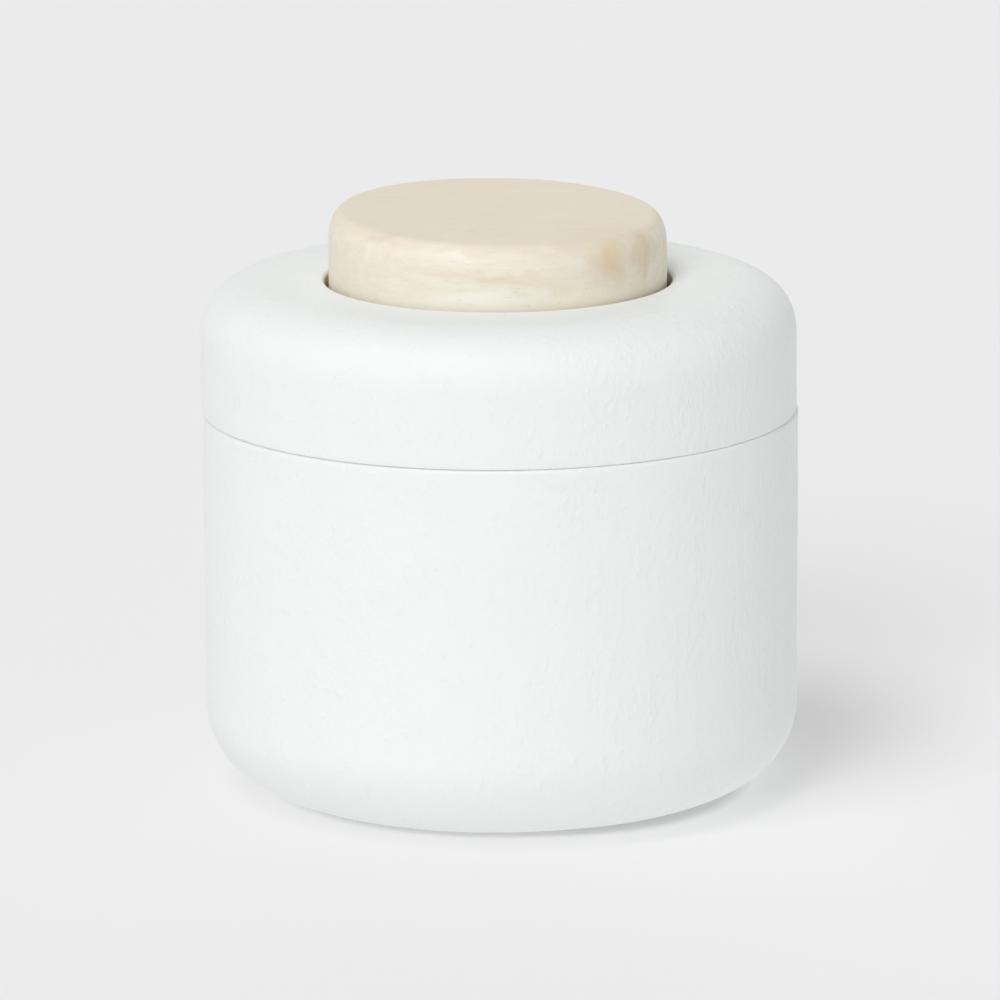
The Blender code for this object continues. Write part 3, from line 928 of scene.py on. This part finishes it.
WOOD_STAIN_LAYER_BAND = (0.3, 0.6)
WOOD_STAIN_SHARES = (0.55, 1.0)
WOOD_PATCH_BAND = (0.25, 1.0)
WOOD_PATCHES = (
    Patch((0.0215, -0.0205, -0.0043), (0.0165, 0.0150, 0.0075), WOOD_TAN, 0.42),
    Patch((0.0000, -0.0250, -0.0124), (0.0300, 0.0200, 0.0034), WOOD_CREAM, 0.60),
    Patch((0.0155, -0.0262, -0.0118), (0.0135, 0.0120, 0.0032), WOOD_STRAW, 0.60),
    Patch((0.0201, -0.0231, -0.0046), (0.0042, 0.0044, 0.0046), WOOD_AMBER, 0.66),
    Patch((0.0262, -0.0158, -0.0045), (0.0046, 0.0062, 0.0060), WOOD_TAN, 0.68),
    Patch((0.0200, -0.0020, 0.0000), (0.0090, 0.0230, 0.0020), WOOD_PINK, 0.30),
    Patch((0.0130, -0.0270, -0.0010), (0.0080, 0.0070, 0.0010), WOOD_PINK, 0.65),
    Patch((-0.0298, -0.0070, -0.0060), (0.0016, 0.0022, 0.0060), WOOD_PINK, 0.55),
    Patch((-0.0215, -0.0215, -0.0012), (0.0060, 0.0045, 0.0016), WOOD_TAN, 0.45),
    Patch((0.0085, -0.0295, -0.0080), (0.0080, 0.0060, 0.0025), WOOD_HONEY, 0.38),
    Patch((-0.0025, -0.0303, -0.0061), (0.0190, 0.0060, 0.0015), WOOD_HONEY, 0.60),
    Patch((0.0010, -0.0305, -0.0064), (0.0060, 0.0060, 0.0013), WOOD_TAN, 0.32),
    Patch((-0.0030, -0.0304, -0.0098), (0.0160, 0.0080, 0.0024), WOOD_CREAM, 0.85),
    Patch((-0.0078, -0.0296, -0.0028), (0.0055, 0.0060, 0.0012), WOOD_CREAM, 0.60),
)


def within(wood, where, middle, patch):
    """1 in the middle of a patch or swelling, falling softly to 0 at its half widths."""
    offset = wood.vector_math("SUBTRACT", where, middle + Vector(patch.middle))
    away = wood.length(wood.vector_math("MULTIPLY", offset, [1 / reach for reach in patch.reach]))
    return wood.between(away, WOOD_PATCH_BAND, FALLING)


def growth_layers(wood, middle):
    """Growth layers that stand across Y, warped all over and bent round a swelling at the front."""
    x, y, z = wood.parts(wood.place)
    warp = wood.math("MULTIPLY", wood.grain(WOOD_WARP), WOOD_WARP_DEPTH)
    swelling = wood.math("MULTIPLY", within(wood, wood.place, middle, WOOD_SWELLING), WOOD_SWELLING.push)
    return wood.grain(WOOD_LAYERS, wood.joined(x, wood.total(y, warp, swelling), z))


def wood_darkness(wood, layers, fibres):
    """How dark the wood is before it is stained."""
    clouds = wood.between(wood.grain(WOOD_CLOUDS), WOOD_CLOUD_BAND)
    return wood.total(
        wood.between(layers, WOOD_LAYER_BAND, WOOD_LAYER_DARKNESS),
        wood.between(clouds, WHOLE, WOOD_CLOUD_DARKNESS),
        wood.between(wood.grain(WOOD_STREAKS), WOOD_STREAK_BAND, WOOD_STREAK_DARKNESS),
        wood.between(fibres, NOISE_BAND, WOOD_FIBRE_DARKNESS),
    )


def stained(wood, colour, layers, middle):
    """A colour with a warmer, darker tone on the knob's top, partly the wood's own tone and partly
    painted shade, and the patches over it, all with uneven edges. The patches are stronger in some of
    the growth layers."""
    where = wood.bent(WOOD_STAIN_BENDS, WOOD_STAIN_REACH)
    # the top's own warmer tone together with painted shade, from the given depths up
    above = wood.between(wood.parts(where)[2], [middle.z - depth for depth in WOOD_TOP_TONE_AND_SHADE_DEPTHS])
    colour = wood.mix(wood.math("MULTIPLY", above, WOOD_TOP_TONE_AND_SHADE_SHARE), colour, WOOD_TOP_TONE_AND_SHADE)
    taken = wood.between(layers, WOOD_STAIN_LAYER_BAND, WOOD_STAIN_SHARES)
    for patch in WOOD_PATCHES:
        share = wood.product(within(wood, where, middle, patch), patch.strength, taken)
        colour = wood.mix(share, colour, patch.colour)
    return colour


def wood_material():
    """Pale wood with its grain along X, stained in places and darker on its top, partly by painted
    shade, with fine pores and a sanded surface.
    """
    wood = Surface("pale wood")
    middle = Vector((KNOB_OFF_CENTRE, 0, spans("wooden_knob")[2]))
    layers = growth_layers(wood, middle)
    fibres = wood.grain(WOOD_FIBRES)
    pores = wood.between(wood.grain(WOOD_PORES), WOOD_PORE_BAND)
    colour = wood.mix(wood_darkness(wood, layers, fibres), WOOD_LIGHT, WOOD_DARK)
    colour = stained(wood, colour, layers, middle)
    colour = wood.mix(wood.math("MULTIPLY", pores, WOOD_PORE_SHARE), colour, WOOD_PORE)
    wood.raise_by(fibres, WOOD_FIBRE_HEIGHT)
    wood.raise_by(pores, WOOD_PORE_DEPTH)
    wood.raise_by(layers, WOOD_LAYER_HEIGHT)
    wood.raise_by(wood.grain(WOOD_SANDING), WOOD_SANDING_HEIGHT)
    roughness = wood.between(layers, NOISE_BAND, WOOD_ROUGHNESS)
    return wood.finish(colour, roughness, Specular_IOR_Level=WOOD_SPECULAR)


# Soft pieces
SOFT_WAVES = Grain(0.0025, detail=2)
SOFT_WAVE_HEIGHT = 0.00002
SOFT_MATTING = Grain(0.00022, detail=2)
SOFT_MATTING_HEIGHT = 0.000006
SOFT_DUST = Grain(0.0009, detail=4)
SOFT_DUST_BAND = (0.45, 0.75)
SEAL_COLOUR = (0.80, 0.815, 0.805, 1)
SEAL_SHADE = (0.74, 0.75, 0.73, 1)
SEAL_ROUGHNESS = (0.38, 0.52)
PAD_COLOUR = (0.56, 0.57, 0.575, 1)
PAD_DUST = (0.68, 0.67, 0.65, 1)
PAD_ROUGHNESS = (0.45, 0.6)
RUBBER_COLOUR = (0.030, 0.030, 0.031, 1)
RUBBER_BLOOM = (0.075, 0.075, 0.074, 1)
RUBBER_ROUGHNESS = (0.5, 0.7)


def soft_material(name, colour, other, roughness):
    """Moulded rubber or silicone: waves and matting from the mould, and a little dust or bloom."""
    soft = Surface(name)
    waves = soft.grain(SOFT_WAVES)
    soft.raise_by(waves, SOFT_WAVE_HEIGHT)
    soft.raise_by(soft.grain(SOFT_MATTING), SOFT_MATTING_HEIGHT)
    dust = soft.between(soft.grain(SOFT_DUST), SOFT_DUST_BAND)
    return soft.finish(soft.mix(dust, colour, other), soft.between(waves, NOISE_BAND, roughness))


# Cork
CORK_LIGHT = (0.50, 0.34, 0.20, 1)
CORK_DARK = (0.30, 0.18, 0.095, 1)
CORK_GAP = (0.12, 0.07, 0.04, 1)
CORK_CELLS = Grain(0.0012)
CORK_CELL_BAND = (0.0, 0.10)
CORK_CELL_HEIGHT = 0.00008
CORK_SAND = Grain(0.0003, detail=3)
CORK_SAND_HEIGHT = 0.00002
CORK_ROUGHNESS = (0.8, 0.95)


def cork_material():
    """Pressed cork: granules of many browns with dark gaps between them."""
    cork = Surface("cork")
    tone = cork.parts(cork.cells(CORK_CELLS)["Color"])[0]
    granules = cork.between(cork.cells(CORK_CELLS, "DISTANCE_TO_EDGE")["Distance"], CORK_CELL_BAND)
    colour = cork.mix(granules, CORK_GAP, cork.mix(tone, CORK_LIGHT, CORK_DARK))
    sand = cork.grain(CORK_SAND)
    cork.raise_by(granules, CORK_CELL_HEIGHT)
    cork.raise_by(sand, CORK_SAND_HEIGHT)
    return cork.finish(colour, cork.between(sand, NOISE_BAND, CORK_ROUGHNESS))


# Steel
STEEL_COLOUR = (0.62, 0.615, 0.60, 1)
STEEL_DULL = (0.50, 0.495, 0.48, 1)
STEEL_TURNING = Grain(0.00012, detail=2)
STEEL_TURNING_HEIGHT = 0.000003
STEEL_CLOUDS = Grain(0.0016, detail=3)
STEEL_CLOUD_BAND = (0.4, 0.7)
STEEL_ROUGHNESS = (0.24, 0.38)


def steel_material():
    """Bright steel with fine turned rings about the screw's axis, duller in clouds."""
    steel = Surface("steel")
    x, y, z = steel.parts(steel.place)
    radius = steel.length(steel.joined(x, y, 0.0))
    steel.raise_by(steel.grain(STEEL_TURNING, steel.joined(radius, z, 0.0)), STEEL_TURNING_HEIGHT)
    clouds = steel.between(steel.grain(STEEL_CLOUDS), STEEL_CLOUD_BAND)
    colour = steel.mix(clouds, STEEL_COLOUR, STEEL_DULL)
    return steel.finish(colour, steel.between(clouds, WHOLE, STEEL_ROUGHNESS), Metallic=1.0)


def make_world():
    """Even light from all round, which rays from the camera, a mirror or glass see as the pale
    background."""
    world = bpy.data.worlds.new("surroundings")
    bpy.context.scene.world = world
    world.use_nodes = True
    sky = Graph(world.node_tree)
    sky.tree.nodes.clear()
    path = sky.node("ShaderNodeLightPath").outputs
    seen = sky.either(sky.either(path["Is Camera Ray"], path["Is Glossy Ray"]), path["Is Transmission Ray"])
    seen = sky.product(seen, sky.opposite(path["Is Diffuse Ray"]))
    light = sky.node("ShaderNodeBackground", {"Color": WHITE, "Strength": AMBIENT}).outputs[0]
    shown = sky.node("ShaderNodeBackground", {"Color": PALE_GREY, "Strength": 1}).outputs[0]
    sky.node("ShaderNodeOutputWorld", {"Surface": sky.mixed(seen, light, shown)})


def milky(table, white, glow, clear_share):
    """A shader that scatters light back and, by its clear share, lets light glow through."""
    above = table.node("ShaderNodeBsdfDiffuse", {"Color": white}).outputs[0]
    through = table.node("ShaderNodeBsdfTranslucent", {"Color": glow}).outputs[0]
    return table.mixed(clear_share, above, through)


def table_lit(table, apart):
    """The table as it lights the object: less clear under the base."""
    band = (CONTACT_RADIUS - CONTACT_LIT_FADE, CONTACT_RADIUS)
    clear_share = table.between(apart, band, (CONTACT_LIT_CLEAR_SHARE, TABLE_CLEAR_SHARE), "LINEAR")
    return milky(table, TABLE_WHITE, TABLE_WHITE, clear_share)


def table_shown(table, across, apart):
    """The table as the camera is shown it: less clear towards the right, and less clear where the base
    stands, where its white is also darkened as a painted contact shadow."""
    band = (CONTACT_RADIUS, CONTACT_RADIUS + CONTACT_FADE)
    contact = table.between(apart, band, (CONTACT_SHOWN_CLEAR_SHARE, 1), "LINEAR")
    # painted contact shadow: the shown white darkens in the ring where the base stands
    tone = table.between(apart, band, (CONTACT_PAINTED_SHADOW_TONE, 1), "LINEAR")
    clear_share = table.product(table.between(across, TABLE_TURN, TABLE_SHOWN_CLEAR_SHARES), contact)
    return milky(table, table.times(TABLE_SHOWN_WHITE, tone), TABLE_SHOWN_GLOW, clear_share)


def table_gone(table, away, camera):
    """Where the table is left out: an opening under the foot that lets light in but isn't shown to the
    camera, and all of it where the camera looks at it from below."""
    band = (FLOOR_OPENING_RADIUS - FLOOR_OPENING_FADE, FLOOR_OPENING_RADIUS)
    opening = table.product(table.between(away, band, FALLING, "LINEAR"), table.opposite(camera))
    below = table.node("ShaderNodeNewGeometry").outputs["Backfacing"]
    return table.either(opening, table.product(below, camera))


def floor_material():
    """A milky white table that is lit from both sides, so that it shows the object's shadow, with a
    darker line where the base stands, partly its real shadow and partly painted shadow, but glows a
    little under its heel."""
    material = bpy.data.materials.new("floor")
    material.use_nodes = True
    table = Graph(material.node_tree)
    table.tree.nodes.clear()
    camera = table.node("ShaderNodeLightPath").outputs["Is Camera Ray"]
    place = table.node("ShaderNodeTexCoord").outputs["Object"]
    away = table.length(place)
    across = table.parts(place)[0]
    reach_right = table.between(across, CONTACT_TURN, (0, CONTACT_REACH_RIGHT))
    apart = table.math("SUBTRACT", away, reach_right)
    top = table.mixed(camera, table_lit(table, apart), table_shown(table, across, apart))
    clear = table.node("ShaderNodeBsdfTransparent").outputs[0]
    whole = table.mixed(table_gone(table, away, camera), top, clear)
    table.node("ShaderNodeOutputMaterial", {"Surface": whole})
    return material


def make_floor():
    """The table's top, a wide disc at the height that the object stands on."""
    form = bmesh.new()
    bmesh.ops.create_circle(form, cap_ends=True, segments=FLOOR_STEPS, radius=FLOOR_RADIUS)
    mesh = bpy.data.meshes.new("floor")
    form.to_mesh(mesh)
    form.free()
    floor = bpy.data.objects.new("floor", mesh)
    bpy.context.scene.collection.objects.link(floor)
    mesh.materials.append(floor_material())


def make_lights():
    """Wide lamps, as far away as suns."""
    for name, (round_by, above, width, strength) in LIGHTS.items():
        data = bpy.data.lights.new(name, "SUN")
        data.energy = strength * math.pi
        data.angle = math.radians(width)
        lamp = bpy.data.objects.new(name, data)
        bpy.context.scene.collection.objects.link(lamp)
        turn, rise = math.radians(round_by), math.radians(above)
        level = math.cos(rise)
        to_lamp = Vector((math.sin(turn) * level, -math.cos(turn) * level, math.sin(rise)))
        lamp.rotation_mode = "QUATERNION"
        lamp.rotation_quaternion = to_lamp.to_track_quat("Z", "Y")


def make_camera():
    """The photograph's view: a long lens, looking down a little, aimed near the object's middle and
    rolled slightly."""
    data = bpy.data.cameras.new("camera")
    data.lens = LENS
    data.sensor_width = SENSOR_WIDTH
    camera = bpy.data.objects.new("camera", data)
    bpy.context.scene.collection.objects.link(camera)
    back = Vector((0, -math.cos(CAMERA_ELEVATION), math.sin(CAMERA_ELEVATION)))
    up = Vector((0, math.sin(CAMERA_ELEVATION), math.cos(CAMERA_ELEVATION)))
    right = Vector((1, 0, 0))
    rolled_right = right * math.cos(CAMERA_ROLL) - up * math.sin(CAMERA_ROLL)
    rolled_up = right * math.sin(CAMERA_ROLL) + up * math.cos(CAMERA_ROLL)
    turn = Matrix((rolled_right, rolled_up, back)).transposed().to_4x4()
    camera.matrix_world = Matrix.Translation(CAMERA_AIM + back * CAMERA_DISTANCE) @ turn
    bpy.context.scene.camera = camera


def main():
    """Makes the canister's pieces, then their surroundings."""
    bpy.context.scene.view_settings.view_transform = "Standard"
    coat, glaze, bare, steel = coat_material(), glaze_material(), stone_material(), steel_material()
    make_jar(coat, glaze, bare)
    make_lid(coat, glaze, bare)
    make_seal(soft_material("white silicone", SEAL_COLOUR, SEAL_SHADE, SEAL_ROUGHNESS))
    make_knob(wood_material())
    make_cushion(cork_material())
    make_soft_washer(soft_material("dark rubber", RUBBER_COLOUR, RUBBER_BLOOM, RUBBER_ROUGHNESS))
    make_steel_washer(steel)
    make_screw(steel)
    make_pads(soft_material("grey silicone", PAD_COLOUR, PAD_DUST, PAD_ROUGHNESS))
    make_world()
    make_floor()
    make_lights()
    make_camera()


main()
